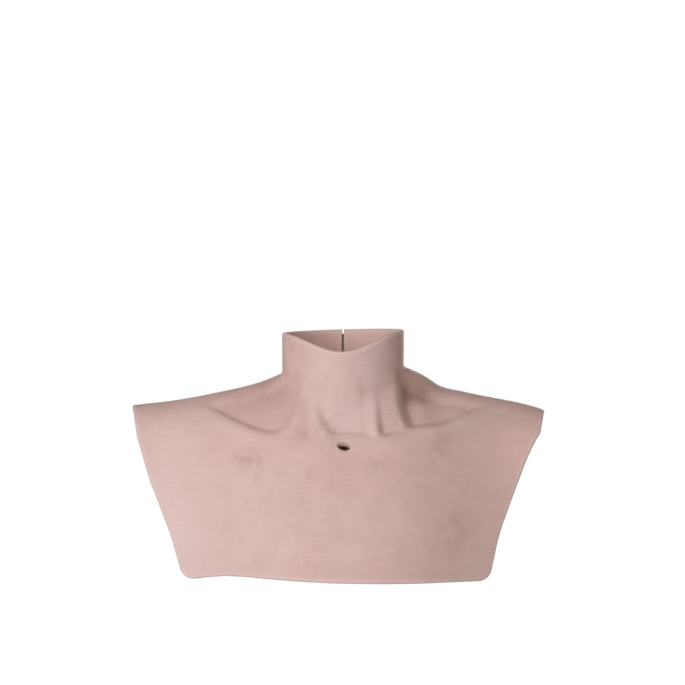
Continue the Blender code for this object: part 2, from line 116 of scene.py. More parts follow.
# Corners of the trimmed edge: x, height or, at the tips and the back, distance down the back, and radius.
HEM_LEFT = (-0.1496, -0.1932, 0.012)
HEM_MID_LEFT = (-0.110, -0.1862, 0.200)
HEM_MID_RIGHT = (-0.010, -0.1902, 0.300)
HEM_RIGHT = (0.1368, -0.1932, 0.012)
SIDE_TOP_LEFT = (-0.1935, -0.061, 0.040)
SIDE_MID_LEFT = (-0.1842, -0.0955, 0.120)
SIDE_LOW_LEFT = (-0.1620, -0.1526, 0.150)
SIDE_TOP_RIGHT = (0.1862, -0.0565, 0.022)
SIDE_HIGH_RIGHT = (0.1766, -0.0735, 0.100)
SIDE_MID_RIGHT = (0.1462, -0.152, 0.100)
TIP_LEFT = (-0.2022, 0.010, 0.012)
TIP_RIGHT = (0.1940, 0.010, 0.012)
BACK_CORNER_LEFT = (-0.128, 0.140, 0.028)
BACK_CORNER_RIGHT = (0.124, 0.140, 0.028)
# The lower end of muscles and hollows, above the collar bones, as (x, height) stations.
FOOT_LINE = (
    (-0.160, -0.0270),
    (-0.126, -0.0330),
    (-0.106, -0.0420),
    (-0.078, -0.0530),
    (-0.058, -0.0560),
    (0.000, -0.0560),
    (0.036, -0.0575),
    (0.066, -0.0505),
    (0.093, -0.0465),
    (0.125, -0.0350),
    (0.160, -0.0285),
)
FOOT_STEP_HALF = 0.0036
STEP_TOP_SHARES = (0.13, 0.42)
STEP_TOP_BEHIND = 0.27
STEP_FOOT_SHARES = (0.19, 0.48)
STEP_FOOT_BEHIND = 0.33
UPPER_FORM_HEIGHT = -0.020
LOWER_FORM_HEIGHT = -0.054
FORM_REACH = (0.0, 1.1)
FORM_CURVE = 2
# Each form: its x at the upper and at the lower height, and how far it stands out at each.
FORMS = (
    (-0.150, -0.158, 0.0000, 0.0000),  # outer end of the left hollow
    (-0.104, -0.112, -0.0030, -0.0030),  # its shallow part
    (-0.066, -0.078, -0.0046, -0.0046),  # left hollow
    (-0.0525, -0.0685, -0.0036, -0.0040),  # its inner edge
    (-0.0375, -0.0500, 0.0006, 0.0010),  # left collar bone head of the muscle
    (-0.0325, -0.0350, 0.0006, -0.0006),  # groove between the two heads
    (-0.0285, -0.0200, 0.0006, 0.0018),  # left breastbone head
    (-0.0195, -0.0070, -0.0006, -0.0030),  # edge of the throat
    (0.0030, 0.0050, -0.0006, -0.0026),  # throat
    (0.0180, 0.0190, -0.0002, -0.0014),  # edge of the throat
    (0.0285, 0.0305, 0.0004, 0.0018),  # right breastbone head
    (0.0360, 0.0395, 0.0002, -0.0042),  # groove between the two heads
    (0.0470, 0.0580, 0.0012, 0.0014),  # right collar bone head
    (0.0645, 0.0720, -0.0110, -0.0064),  # inner edge of the right hollow
    (0.0800, 0.0865, -0.0090, -0.0056),  # right hollow
    (0.110, 0.114, -0.0040, -0.0036),  # its shallow part
    (0.150, 0.158, 0.0000, 0.0000),  # its outer end
)
CREST_CLEARANCE = (0.002, 0.014)
FRONT_FADE = (0.02, 0.30)
CLAVICLE_BELOW_FOOT = 0.009
CLAVICLE_HALF_WIDTH = 0.0085
CLAVICLE_HEIGHT = 0.0022
CLAVICLE_INNER = (0.020, 0.055)
CLAVICLE_OUTER = (0.110, 0.148)
# Where the neck's shadow is painted on the skin, in the corner between neck and right shoulder: x where it
# starts beside the neck and where it ends towards the shoulder, and the heights over which it fades out
# downwards.
NECK_SHADOW_FROM_NECK = (0.054, 0.064)
NECK_SHADOW_TO_SHOULDER = (0.076, 0.106)
NECK_SHADOW_TO_HOLLOW = (-0.030, -0.014)
SKIN_PITCH = 0.0042
SKIN_CORNER_STEPS = 10
NECK_ROWS = 26
FILLET_ROWS = 12
COLLARBONE_ROWS = 24
STEP_ROWS = 5
APRON_ROWS = 44
APRON_CROWDING = 1.25
HALVINGS = 40
LONGEST_RUN = 0.5
SMALL_STEP = 0.001
CORNER_SHARE = 0.45


def through(stations, x):
    """Smooth curve through (x, value) stations: a cubic piece between each two, whose slope at a station
    is that of its neighbours."""
    knots, values = np.transpose(stations)
    slopes = np.gradient(values, knots)
    x = np.clip(x, knots[0], knots[-1])
    i = np.clip(np.searchsorted(knots, x) - 1, 0, len(knots) - 2)
    span = knots[i + 1] - knots[i]
    t = (x - knots[i]) / span
    start = (1 + 2 * t) * (1 - t) ** 2 * values[i] + t * (1 - t) ** 2 * span * slopes[i]
    end = t * t * (3 - 2 * t) * values[i + 1] + t * t * (t - 1) * span * slopes[i + 1]
    return start + end


def smooth_step(x, low, high):
    """0 below low, 1 above high and an S curve between: 3 t squared less 2 t cubed."""
    t = np.clip((x - low) / (high - low), 0, 1)
    return t * t * (3 - 2 * t)


def body(x, s):
    """Outer face of the yoke at x across and s along the skin down the front from the shoulder crest, or
    down the back where s is negative: a quarter circle of radius BROW, then a straight fall that leans
    outwards."""
    crest = through(CREST, x)
    away = 1 - np.exp(-((np.abs(x) / TORSO_BREADTH) ** TORSO_FLATNESS))
    run = np.abs(s) + crest * smooth_step(np.abs(s), 0, CREST_FADE)
    turn = np.clip(run / BROW, 0, math.pi / 2)
    drop = BROW * (1 - np.cos(turn)) + np.maximum(run - BROW * math.pi / 2, 0)
    lean = np.maximum(CHEST_LEAN - CHEST_LEAN_LOSS * (x / CHEST_LEAN_REACH) ** 2, 0)
    chest_depth = CREST_Y - CHEST_Y - CHEST_ROUNDING * away - lean * (crest - CHEST_LEVEL)
    front = CREST_Y - chest_depth * np.sin(turn) - lean * drop
    back = CREST_Y + (BACK_DEPTH - BACK_ROUNDING * away) * np.sin(turn) + BACK_LEAN * drop
    return np.stack([x, np.where(s > 0, front, back), crest - drop], axis=-1)


def halved(low, high, passed):
    """The value between low and high past which passed(value) is true, found by halving again and again."""
    for _ in range(HALVINGS):
        middle = (low + high) / 2
        beyond = passed(middle)
        low, high = np.where(beyond, low, middle), np.where(beyond, middle, high)
    return (low + high) / 2


def along_skin(x, z):
    """Distance s down the front of the skin at which body() reaches height z."""
    x, z = np.broadcast_arrays(x, z)
    return halved(0 * z, 0 * z + LONGEST_RUN, lambda s: body(x, s)[..., 2] < z)


def neck(angle, z):
    """Outer face of the neck sleeve: an oval round the neck, whose middle moves forward as z rises."""
    angle, z = np.broadcast_arrays(angle, z)
    depth = np.where(np.cos(angle) > 0, NECK_FRONT_DEPTH, NECK_BACK_DEPTH)
    x = NECK_HALF_WIDTH * np.sin(angle)
    y = NECK_CENTRE_Y - NECK_LEAN * z - depth * np.cos(angle)
    return np.stack([x, y, z], axis=-1)


def rim_height(angle):
    """Height of the rim: level at the sides, lower under the chin, a little higher right and behind."""
    dip = RIM_DIP * np.exp(-((angle / RIM_DIP_SPREAD) ** 2))
    return RIM_HEIGHT + RIM_RISE_RIGHT * np.sin(angle) + RIM_RISE_NAPE * (1 - np.cos(angle)) / 2 - dip


def neck_root(angle):
    """Where the neck sleeve meets the yoke, as (x, s): body() there lies under the sleeve's wall."""
    wall = neck(angle, np.zeros_like(angle))

    def in_front(s):
        found = body(wall[:, 0], s)
        return found[:, 1] < wall[:, 1] - NECK_LEAN * found[:, 2]

    reach = 2 * BROW + 0 * angle
    return np.stack([wall[:, 0], halved(-reach, reach, in_front)], axis=-1)


def rounded_outline(corners, pitch, corner_steps):
    """Points along an open line of (x, s, radius) corners: an arc at each inner corner, with corner_steps
    for each quarter turn, and straight pieces of about one pitch between the arcs."""
    points = [np.array(corners[0][:2])]
    for before, at, after in zip(corners, corners[1:], corners[2:]):
        corner = np.array(at[:2])
        towards = np.array(before[:2]) - corner
        onwards = np.array(after[:2]) - corner
        reach = (np.linalg.norm(towards), np.linalg.norm(onwards))
        towards, onwards = towards / reach[0], onwards / reach[1]
        half = math.acos(np.clip(towards @ onwards, -1, 1)) / 2
        cut = min(at[2] / math.tan(half), CORNER_SHARE * min(reach))
        radius = cut * math.tan(half)
        centre = corner + (towards + onwards) / np.linalg.norm(towards + onwards) * radius / math.sin(half)
        first, last = corner + towards * cut, corner + onwards * cut
        steps = math.ceil(corner_steps * (math.pi - 2 * half) / (math.pi / 2))
        for step in range(steps + 1):
            share = step / steps
            spoke = (first - centre) * (1 - share) + (last - centre) * share
            points.append(centre + spoke / np.linalg.norm(spoke) * radius)
    points.append(np.array(corners[-1][:2]))
    line = [points[0]]
    for start, end in zip(points, points[1:]):
        pieces = max(1, round(float(np.linalg.norm(end - start)) / pitch))
        line += [start + (end - start) * (k + 1) / pieces for k in range(pieces)]
    return np.array(line)


def edge_line(pitch, corner_steps):
    """The trimmed edge as (x, s) points, from the split at the nape round the left side and back to it."""
    def on_front(corner):
        return (corner[0], float(along_skin(corner[0], corner[1])), corner[2])

    def on_back(corner):
        return (corner[0], -corner[1], corner[2])

    corners = [
        (0.0, -BACK_CORNER_LEFT[1], 0.0),
        on_back(BACK_CORNER_LEFT),
        on_back(TIP_LEFT),
        on_front(SIDE_TOP_LEFT),
        on_front(SIDE_MID_LEFT),
        on_front(SIDE_LOW_LEFT),
        on_front(HEM_LEFT),
        on_front(HEM_MID_LEFT),
        on_front(HEM_MID_RIGHT),
        on_front(HEM_RIGHT),
        on_front(SIDE_MID_RIGHT),
        on_front(SIDE_HIGH_RIGHT),
        on_front(SIDE_TOP_RIGHT),
        on_back(TIP_RIGHT),
        on_back(BACK_CORNER_RIGHT),
        (0.0, -BACK_CORNER_RIGHT[1], 0.0),
    ]
    return rounded_outline(corners, pitch, corner_steps)


def forms(x, z):
    """Muscles and hollows: at each height every form has its own place across and its level, and an S curve
    joins each form to the next."""
    share = np.clip((z - UPPER_FORM_HEIGHT) / (LOWER_FORM_HEIGHT - UPPER_FORM_HEIGHT), *FORM_REACH)
    height = np.zeros(np.broadcast(x, z).shape)
    for form, following in zip(FORMS, FORMS[1:]):
        left, right = (each[0] + (each[1] - each[0]) * share**FORM_CURVE for each in (form, following))
        start, end = (each[2] + (each[3] - each[2]) * share for each in (form, following))
        joined = start + (end - start) * smooth_step(x, left, right)
        height = np.where((x >= left) & (x < right), joined, height)
    return height


def relief(x, z):
    """How far the cast forms stand out of the plain skin, at x across and height z on the front: the forms
    between the crest and the foot line, and a bell-shaped ridge along each collar bone below it."""
    foot = through(FOOT_LINE, x)
    above_foot = smooth_step(z - foot, -FOOT_STEP_HALF, FOOT_STEP_HALF)
    below_crest = smooth_step(through(CREST, x) - z, *CREST_CLEARANCE)
    from_bone = (z - foot + CLAVICLE_BELOW_FOOT) / CLAVICLE_HALF_WIDTH
    along_bone = smooth_step(np.abs(x), *CLAVICLE_INNER) * (1 - smooth_step(np.abs(x), *CLAVICLE_OUTER))
    return forms(x, z) * above_foot * below_crest + CLAVICLE_HEIGHT * along_bone * np.exp(-(from_bone**2))


def step_share(start, edge, on_front, above_foot, shares, share_behind):
    """How far from start to edge each column comes down to a height above the foot line, so that rows of
    faces run along the step. It eases into one share for all columns behind, as on_front goes from 1 to 0."""
    def below(share):
        flat = start + (edge - start) * share[:, None]
        found = body(flat[:, 0], flat[:, 1])
        return (found[:, 2] < through(FOOT_LINE, found[:, 0]) + above_foot) | (flat[:, 1] < 0)

    share = halved(0 * edge[:, 0], 0 * edge[:, 0] + 1, below)
    return share_behind + (np.clip(share, *shares) - share_behind) * on_front


def unit(vectors):
    """Vectors of length one in the same directions."""
    return vectors / np.linalg.norm(vectors, axis=-1, keepdims=True)


def outward(grid):
    """Unit normals of a grid of points whose rows run down and whose columns run round: one row and column
    difference crossed with the other."""
    return unit(np.cross(np.gradient(grid, axis=0), np.gradient(grid, axis=1)))


def crowded_edge():
    """The trimmed edge, with its points drawn closer together towards the split at both ends."""
    edge = edge_line(SKIN_PITCH, SKIN_CORNER_STEPS)
    inset = SPLIT_CROWDING * (np.arange(1, SPLIT_STEPS + 1) / SPLIT_STEPS) ** 2
    crowded = edge[:1] + np.outer(inset, (1, 0))
    return np.concatenate([edge[:1], crowded * (-1, 1), edge[2:-2], crowded[::-1], edge[-1:]])


def rounding_steps():
    """Distances from an edge at which rows lie on its rounding: even steps of the quarter circle's turn."""
    return EDGE_ROUNDING * (1 - np.cos(np.linspace(0, math.pi / 2, EDGE_STEPS + 1)))[:, None]


def neck_rows(angle, foot):
    """Rows down the neck sleeve from the rim to its foot: close together on the rounded rim, then even."""
    top = rim_height(angle)
    even_rows = np.linspace(0, 1, NECK_ROWS + 1)[1:, None]
    plain = EDGE_ROUNDING + (top - foot - EDGE_ROUNDING) * even_rows
    below_rim = np.concatenate([rounding_steps() + 0 * top, plain])
    return neck(angle[None, :], top - below_rim)


def yoke_rows(start, edge, on_front):
    """Rows from the fillet out to the trimmed edge: even as far as the step at the foot line, close together
    down the step, then wider over the apron, and close together again on the rounded edge."""
    step_top = step_share(start, edge, on_front, FOOT_STEP_HALF, STEP_TOP_SHARES, STEP_TOP_BEHIND)
    step_foot = step_share(start, edge, on_front, -FOOT_STEP_HALF, STEP_FOOT_SHARES, STEP_FOOT_BEHIND)
    to_step = np.linspace(0, 1, COLLARBONE_ROWS + 1)[:, None] * step_top
    on_step = step_top + (step_foot - step_top) * np.linspace(0, 1, STEP_ROWS + 1)[1:-1, None]
    column = np.linalg.norm(edge - start, axis=1)
    last = 1 - EDGE_ROUNDING / column
    apron_rows = np.linspace(0, 1, APRON_ROWS + 1)[:, None] ** APRON_CROWDING
    past_step = step_foot + (last - step_foot) * apron_rows
    on_edge = 1 - rounding_steps()[-2::-1] / column
    flat = start + (edge - start) * np.concatenate([to_step, on_step, past_step, on_edge])[..., None]
    return body(flat[..., 0], flat[..., 1])


def fillet_rows(neck_part, yoke_part, leaving):
    """Rows of the fillet: a cubic curve that leaves the neck sleeve and meets the yoke along their slopes."""
    arriving = unit(neck_part[-1] - neck_part[-2])
    pull = np.linalg.norm(yoke_part[0] - neck_part[-1], axis=1, keepdims=True) * FILLET_PULL
    t = np.linspace(0, 1, FILLET_ROWS + 1)[1:-1, None, None]
    return (
        (1 - t) ** 3 * neck_part[-1]
        + 3 * t * (1 - t) ** 2 * (neck_part[-1] + arriving * pull)
        + 3 * t**2 * (1 - t) * (yoke_part[0] - leaving * pull)
        + t**3 * yoke_part[0]
    )


def skin_grid():
    """Outer face of the skin as a grid: each column runs down the neck, round the fillet and out along the
    yoke to the trimmed edge. It returns the points and, for each, its distance to the edge, how deep it lies
    in a hollow, and how far it lies in the corner between neck and right shoulder, where the neck's shadow
    is painted."""
    edge = crowded_edge()
    angle = np.arctan2(edge[:, 0], edge[:, 1])
    angle[0], angle[-1] = -math.pi, math.pi
    forward = np.cos(angle)
    on_front = smooth_step(forward, *FRONT_FADE)
    fillet_end = np.where(forward > 0, FILLET_FRONT, FILLET_BACK)
    fillet = FILLET_SIDE + (fillet_end - FILLET_SIDE) * forward**2

    root = neck_root(angle)
    heading = unit(edge - root)
    start = root + heading * fillet[:, None]
    ahead = start + heading * SMALL_STEP
    neck_part = neck_rows(angle, body(root[:, 0], root[:, 1])[:, 2] + fillet)
    yoke_part = yoke_rows(start, edge, on_front)
    leaving = unit(body(ahead[:, 0], ahead[:, 1]) - yoke_part[0])
    grid = np.concatenate([neck_part, fillet_rows(neck_part, yoke_part, leaving), yoke_part])

    x, z = grid[..., 0], grid[..., 2]
    height = relief(x, z) * on_front
    # Painted shadow of the neck: how far each point lies in the corner between neck and right shoulder.
    shadow_beside_neck = smooth_step(x, *NECK_SHADOW_FROM_NECK) * (1 - smooth_step(x, *NECK_SHADOW_TO_SHOULDER))
    corner = on_front * shadow_beside_neck * smooth_step(z, *NECK_SHADOW_TO_HOLLOW)
    grid = grid + outward(grid) * height[..., None]
    to_split = np.where(forward < 0, np.abs(grid[..., 0]), LONGEST_RUN)
    grid[..., 0] += np.sign(angle) * SPLIT_GAP / 2 * (np.abs(angle) / math.pi) ** SPLIT_TAPER_POWER
    to_hem = np.linalg.norm(np.diff(grid, axis=0), axis=-1)[::-1].cumsum(axis=0)[::-1]
    to_hem = np.concatenate([to_hem, 0 * to_hem[:1]])
    to_edge = np.minimum(np.minimum(to_hem, to_hem[0] - to_hem), to_split)
    return grid, {"to_edge": to_edge, "hollow": -height, "corner": corner}


def rounded_shell(grid, to_edge):
    """Outer and inner face of the skin: a wall apart, and drawn in at the edge to a quarter circle each."""
    from_edge = EDGE_ROUNDING - np.minimum(to_edge, EDGE_ROUNDING)
    drawn_in = (EDGE_ROUNDING - np.sqrt(EDGE_ROUNDING**2 - from_edge**2))[..., None]
    normal = outward(grid)
    return grid - normal * drawn_in, grid - normal * (WALL - drawn_in)


def point_numbers(rows, columns):
    """The number of each point of a grid, row by row."""
    return np.arange(rows * columns).reshape(rows, columns)


def closed_mesh(name, points, faces):
    """A mesh of points and faces, with all its faces turned outwards and shaded smooth."""
    mesh = bpy.data.meshes.new(name)
    mesh.from_pydata(points, [], faces)
    shape = bmesh.new()
    shape.from_mesh(mesh)
    bmesh.ops.recalc_face_normals(shape, faces=shape.faces)
    shape.to_mesh(mesh)
    shape.free()
    mesh.shade_smooth()
    return mesh


def shell_mesh(name, outer, inner, **attributes):
    """A closed mesh between two grids of points, with walls all round, and attributes with one value for each
    point of a grid."""
    corner = point_numbers(*outer.shape[:2])
    quads = np.stack([corner[:-1, :-1], corner[1:, :-1], corner[1:, 1:], corner[:-1, 1:]], axis=-1)
    quads = quads.reshape(-1, 4)
    loop = np.concatenate([corner[0, :-1], corner[:-1, -1], corner[-1, :0:-1], corner[:0:-1, 0]])
    after = np.roll(loop, -1)
    count = corner.size
    walls = np.stack([loop, after, after + count, loop + count], axis=-1)
    points = np.concatenate([outer.reshape(-1, 3), inner.reshape(-1, 3)])
    mesh = closed_mesh(name, points, np.concatenate([quads, quads[:, ::-1] + count, walls]))
    for key, values in attributes.items():
        values = np.tile(np.ravel(values), 2).astype(np.float32)
        mesh.attributes.new(key, "FLOAT", "POINT").data.foreach_set("value", values)
    return mesh


def piece(name, mesh, material=None):
    """An object in the scene with this mesh and material."""
    made = bpy.data.objects.new(name, mesh)
    bpy.context.scene.collection.objects.link(made)
    if material:
        mesh.materials.append(material)
    return made


# The stoma: a tilted oval hole through the skin for the tracheostomy tube, with a soft lip. It is cut with a
# rod that slants down as it goes in.
STOMA_X = 0.0008
STOMA_HEIGHT = -0.0672
STOMA_HALF_WIDTH = 0.0063
STOMA_HALF_HEIGHT = 0.0041
STOMA_TILT = math.radians(15)
STOMA_SLANT = math.radians(34)
STOMA_LIP_RADIUS = 0.0009
STOMA_LIP_ROWS = 9
STOMA_WALL_ROWS = 8
STOMA_POINTS_ROUND = 72
ROD_OUTER_END = -0.012
ROD_FLARE_START = -0.0004
ROD_INNER_END = 0.014
SHARP_ANGLE = math.radians(60)


def stoma_frame():
    """Centre of the stoma on the outer face, and the directions across, up the skin and straight into it."""
    x = np.full(3, STOMA_X)
    z = STOMA_HEIGHT + SMALL_STEP * np.array([0, 1, -1])
    centre, above, below = (Vector(p) for p in body(x, along_skin(x, z)))
    across = Vector((1, 0, 0))
    up = (above - below).normalized()
    return centre, across, up, up.cross(across)


def tube_quads(corner):
    """Faces of four points between the rows of a grid of point numbers, whose columns join up in a ring."""
    after = np.roll(corner, -1, axis=1)
    return np.stack([corner[:-1], after[:-1], after[1:], corner[1:]], axis=-1).reshape(-1, 4)


def capped_tube(corner):
    """The faces of a tube with both its ends closed, as lists of point numbers."""
    return tube_quads(corner).tolist() + [corner[0][::-1].tolist(), corner[-1].tolist()]


def stoma_cutter():
    """The rod that cuts the stoma, shaped as a trumpet: an oval of the hole's size, which widens along a
    quarter circle at the outer face, tilted, and shifted down as it goes in."""
    centre, across, up, inward = stoma_frame()
    lip = np.linspace(ROD_FLARE_START, STOMA_LIP_RADIUS, STOMA_LIP_ROWS)
    wall = np.linspace(STOMA_LIP_RADIUS, ROD_INNER_END, STOMA_WALL_ROWS)[1:]
    depth = np.concatenate([[ROD_OUTER_END], lip, wall])
    below = np.clip(STOMA_LIP_RADIUS - depth, 0, STOMA_LIP_RADIUS)
    flare = STOMA_LIP_RADIUS - np.sqrt(np.maximum(STOMA_LIP_RADIUS**2 - below**2, 0))
    flare[0] = flare[1]
    turn = np.linspace(0, 2 * math.pi, STOMA_POINTS_ROUND, endpoint=False)
    wide = np.cos(turn) * (STOMA_HALF_WIDTH + flare[:, None])
    tall = np.sin(turn) * (STOMA_HALF_HEIGHT + flare[:, None])
    side = wide * math.cos(STOMA_TILT) + tall * math.sin(STOMA_TILT)
    rise = tall * math.cos(STOMA_TILT) - wide * math.sin(STOMA_TILT)
    points = (
        np.array(centre)
        + side[..., None] * np.array(across)
        + rise[..., None] * np.array(up)
        + depth[:, None, None] * np.array(inward - up * math.tan(STOMA_SLANT))
    )
    return closed_mesh("stoma_cutter", points.reshape(-1, 3), capped_tube(point_numbers(*side.shape)))


def cut_stoma(skin):
    """Takes the rod's shape out of the skin, and keeps the edges that are sharper than 60 degrees sharp."""
    rod = piece("stoma_cutter", stoma_cutter())
    cut = skin.modifiers.new("stoma", "BOOLEAN")
    cut.operation = "DIFFERENCE"
    cut.object = rod
    bpy.context.view_layer.update()
    seen = skin.evaluated_get(bpy.context.evaluated_depsgraph_get())
    finished = bpy.data.meshes.new_from_object(seen)
    finished.name = "collar_skin_cast"
    finished.set_sharp_from_angle(angle=SHARP_ANGLE)
    skin.modifiers.clear()
    skin.data = finished
    bpy.data.objects.remove(rod)


# The skin's finish: silicone coloured all through and brushed with thin pigment, so that it is mottled and
# faintly streaked. Painted light and shade are mixed into the colour too: painted highlights along the
# trimmed edges, on the muscle ridges, low on the left and on the left shoulder, and painted shade in the
# hollows, on the right side, in the wall of the stoma and where the neck's shadow falls. Its face has pores,
# shallow lumps and two faint creases across the neck.
SKIN_LIGHT = (0.735, 0.510, 0.470, 1)
SKIN_DEEP = (0.640, 0.425, 0.375, 1)
SKIN_TAN = (0.640, 0.445, 0.385, 1)
SKIN_PINK = (0.700, 0.455, 0.435, 1)
SKIN_LAVENDER = (0.725, 0.530, 0.530, 1)
# Painted shade: the dark colour for the hollows, the right side of the neck's muscles and the neck's shadow.
SKIN_PAINTED_SHADE = (0.360, 0.215, 0.168, 1)
# Pale pigment of the streaks, and the colour of painted light and highlights.
SKIN_PALE_AND_HIGHLIGHT = (0.780, 0.580, 0.555, 1)
# Warm, darker colour of painted shade.
SKIN_WARM_SHADE = (0.640, 0.410, 0.335, 1)
# Darker colour of the patches and of painted shade.
SKIN_DARK_PATCH_AND_SHADE = (0.510, 0.318, 0.282, 1)
SKIN_SPECULAR = 0.24
SKIN_ROUGHNESS = 0.60
ROUGHNESS_PATCHES = (0.3, 0.7)
ROUGHNESS_ENDS = (0.54, 0.68)

# Noises by name: scale, detail and roughness. The streaks are one more, stretched across.
SKIN_NOISES = {
    "clouds": (17.0, 3.0, 0.55),
    "patches": (70.0, 4.0, 0.60),
    "blotches": (38.0, 2.0, 0.50),
    "speckle": (900.0, 2.0, 0.70),
    "bloom": (11.0, 2.0, 0.50),
}
STREAK_SCALE = (85.0, 85.0, 430.0)
ABOVE_CHEST = (("Z", -0.070, -0.050), ("Z", -0.005, -0.025))

# Tints in the order in which they are mixed in: colour, largest share, and the fades that limit it. A fade
# has the name of what it follows, and its values that let none and all of the tint through.
SKIN_TINTS = (
    (SKIN_DEEP, 0.45, ("clouds", 0.38, 0.64)),
    (SKIN_TAN, 0.55, ("patches", 0.50, 0.64)),
    (SKIN_PINK, 0.60, ("blotches", 0.50, 0.66)),
    (SKIN_DEEP, 0.18, ("speckle", 0.58, 0.75)),
    # Painted shade: warmer and darker towards the right side, which faces away from the light.
    (SKIN_WARM_SHADE, 0.42, ("X", 0.02, 0.20)),
    (SKIN_LAVENDER, 0.45, ("bloom", 0.46, 0.66)),
    # Painted light: paler low on the left and on the left shoulder, the side that the light falls on.
    (SKIN_PALE_AND_HIGHLIGHT, 0.75, ("X", -0.05, -0.16), ("Z", -0.070, -0.150)),  # low on the left
    (SKIN_PALE_AND_HIGHLIGHT, 0.40, ("X", -0.110, -0.165), ("Z", -0.035, -0.050)),  # left shoulder
    # Painted shade left of the throat, above the left collar bone, where the skin faces up and away from the
    # light.
    (SKIN_WARM_SHADE, 0.45, *ABOVE_CHEST, ("X", -0.015, -0.040), ("X", -0.135, -0.100)),  # left of the throat
    (SKIN_LAVENDER, 0.30, *ABOVE_CHEST, ("X", -0.045, -0.020), ("X", 0.065, 0.050)),  # throat
    # Painted shade on the right side of the neck's muscles, turned away from the light.
    (SKIN_PAINTED_SHADE, 0.38, *ABOVE_CHEST, ("X", 0.029, 0.040), ("X", 0.068, 0.056)),  # right collar bone head
    (SKIN_PALE_AND_HIGHLIGHT, 0.32, ("streaks", 0.54, 0.68), ("blotches", 0.35, 0.60)),
    (SKIN_DEEP, 0.18, ("streaks", 0.46, 0.34)),
    # Painted shade in the hollows, deeper where the relief lies deeper.
    (SKIN_PAINTED_SHADE, 0.14, ("hollow", 0.0030, 0.0120)),
    # Painted shadow of the neck in the corner between neck and right shoulder.
    (SKIN_PAINTED_SHADE, 0.90, ("corner", 0.0, 1.0)),
    # Painted highlight on the muscle ridges that stand out.
    (SKIN_PALE_AND_HIGHLIGHT, 0.30, ("hollow", -0.0002, -0.0022), *ABOVE_CHEST),
)
# Painted highlight along the trimmed edge, where its rounding catches the light: share, and distances from
# the edge that let none and all of it through.
EDGE_HIGHLIGHT_SHARE = 0.70
EDGE_HIGHLIGHT_REACH = (0.005, 0.001)

# Soft darker patches, the same in front and behind: x, height, reach and share. Those on the chest darken it
# in patches; those on the neck, in its fillet, in the notch, at the foot of the left groove and above the
# left hollow are painted shade.
DARK_PATCHES_AND_SHADE = (
    (-0.089, -0.083, 0.020, 0.50),
    (0.031, -0.088, 0.015, 0.35),
    (0.094, -0.070, 0.030, 0.45),
    (0.107, -0.147, 0.028, 0.55),
    (0.118, -0.110, 0.020, 0.25),
    (-0.030, -0.092, 0.012, 0.25),
    (-0.0135, -0.060, 0.017, 0.50),
    (0.0125, -0.016, 0.015, 0.45),
    (-0.086, -0.021, 0.024, 0.35),
    (-0.066, -0.016, 0.020, 0.40),
    (0.055, 0.012, 0.034, 0.30),
    (-0.0375, -0.0555, 0.010, 0.40),
)
PATCH_AND_SHADE_UNEVENNESS = (0.35, 0.60)
# Painted shade in the wall of the stoma: share, depth of its middle behind the hole, and distances from that
# middle that let none and all of it through.
STOMA_SHADE_SHARE = 0.6
STOMA_SHADE_DEPTH = 0.004
STOMA_SHADE_REACH = (0.0072, 0.0050)

# The neck's creases: x of the left and the right end, height at the left end, slope there, and bend.
CREASES = (
    (-0.023, 0.012, -0.0152, -0.49, 8.9),
    (0.017, 0.037, -0.0193, 0.03, 14.0),
)
CREASE_DEPTH = 0.0005
CREASE_HALF_WIDTH = 0.0014
LUMP_SCALE = 120.0
PORE_SCALE = 1100.0
# Strength and height of each bump.
CREASE_BUMP = (1.0, CREASE_DEPTH)
LUMP_BUMP = (0.25, 0.0006)
STREAK_BUMP = (0.20, 0.0003)
PORE_BUMP = (0.15, 0.0002)


def fill(tree, socket, value):
    """Links a node's output to this input, or sets a plain value on it."""
    if isinstance(value, bpy.types.NodeSocket):
        tree.links.new(value, socket)
    else:
        socket.default_value = value


def node_adder(tree):
    """A function that adds a node to this tree and fills its inputs, given by name or as i and a number."""
    def add(kind, settings=(), **inputs):
        node = tree.nodes.new(kind)
        for key, value in dict(settings).items():
            setattr(node, key, value)
        for key, value in inputs.items():
            by_number = key[0] == "i" and key[1:].isdigit()
            fill(tree, node.inputs[int(key[1:]) if by_number else key], value)
        return node

    return add


def node_material(name, roughness, specular):
    """A new material, its node tree and Principled shader, and a function that adds nodes to it."""
    material = bpy.data.materials.new(name)
    material.use_nodes = True
    tree = material.node_tree
    shader = tree.nodes["Principled BSDF"]
    shader.inputs["Roughness"].default_value = roughness
    shader.inputs["Specular IOR Level"].default_value = specular
    return material, tree, shader, node_adder(tree)


def creases(add, across):
    """Height of the neck's two faint creases: each follows height = first + slope t + bend t squared, with t
    the way from its left end, has a bell-shaped section and fades out at both ends."""
    def worked(operation, first, second=0.0):
        return add("ShaderNodeMath", {"operation": operation}, i0=first, i1=second).outputs[0]

    total = 0.0
    for left, right, first, slope, bend in CREASES:
        t = worked("SUBTRACT", across.outputs["X"], left)
        line = worked("ADD", worked("MULTIPLY", t, worked("ADD", worked("MULTIPLY", t, bend), slope)), first)
        off = worked("DIVIDE", worked("SUBTRACT", across.outputs["Z"], line), CREASE_HALF_WIDTH)
        bell = worked("EXPONENT", worked("MULTIPLY", worked("MULTIPLY", off, off), -1.0))
        ends = worked("MULTIPLY", t, worked("SUBTRACT", right - left, t))
        fade = worked("MULTIPLY", worked("MAXIMUM", ends, 0.0), 4 / (right - left) ** 2)
        in_front = worked("LESS_THAN", across.outputs["Y"], 0.0)
        total = worked("SUBTRACT", total, worked("MULTIPLY", worked("MULTIPLY", bell, fade), in_front))
    return total


